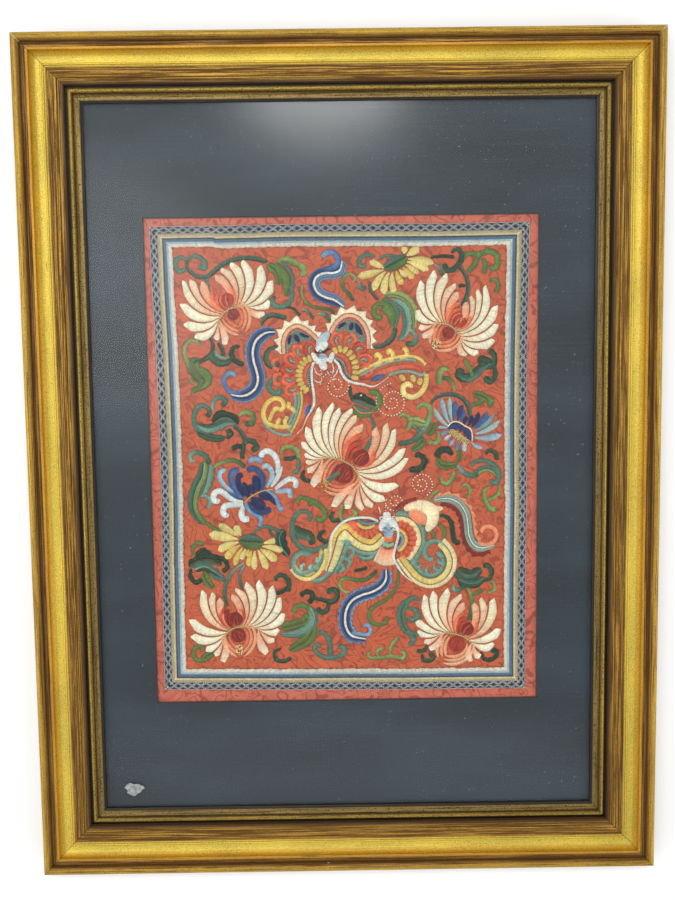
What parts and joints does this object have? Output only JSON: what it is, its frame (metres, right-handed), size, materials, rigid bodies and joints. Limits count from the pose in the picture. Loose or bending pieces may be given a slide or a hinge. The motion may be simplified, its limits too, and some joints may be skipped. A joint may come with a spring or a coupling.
{
  "type": "framed silk embroidery panel with gilt wood frame",
  "caption": "Flower and butterfly silk embroidery on red damask, with woven borders, in a dark silk mat behind glass, in a gilt wood frame with an inner slip.",
  "frame": {"origin": "centre of the back face, on the surface that the panel lies on", "axes": "+X across the panel, +Y up the picture, +Z out of its face"},
  "size_m": [0.56, 0.748, 0.0305],
  "materials": {
    "gilt_wood": "worn gold over brown, in streaks along the moulding",
    "speckled_gilt": "gold with dark speckle",
    "glass": "clear pane, a little hazy",
    "mat_silk": "slubby dark blue-grey silk",
    "silk_damask": "coral-red silk damask with tone-on-tone scrolls",
    "lattice_ribbon": "woven navy and white lattice",
    "cream_braid": "two-rib cream braid",
    "blue_silk": "laid silk shaded from navy to white",
    "backing_board": "plain brown board"
  },
  "bodies": {
    "root": {"rail_bottom": "gilt_wood", "slip_bottom": "speckled_gilt", "rail_right": "gilt_wood", "slip_right": "speckled_gilt", "rail_top": "gilt_wood", "slip_top": "speckled_gilt", "rail_left": "gilt_wood", "slip_left": "speckled_gilt", "glass": "glass", "mat": "mat_silk", "cloth": "silk_damask", "backing": "backing_board", "ribbon_bottom": "lattice_ribbon", "ribbon_right": "lattice_ribbon", "ribbon_top": "lattice_ribbon", "ribbon_left": "lattice_ribbon", "braid_bottom": "cream_braid", "braid_right": "cream_braid", "braid_top": "cream_braid", "braid_left": "cream_braid", "band_bottom": "blue_silk", "band_right": "blue_silk", "band_top": "blue_silk", "band_left": "blue_silk"}
  },
  "joints": []
}
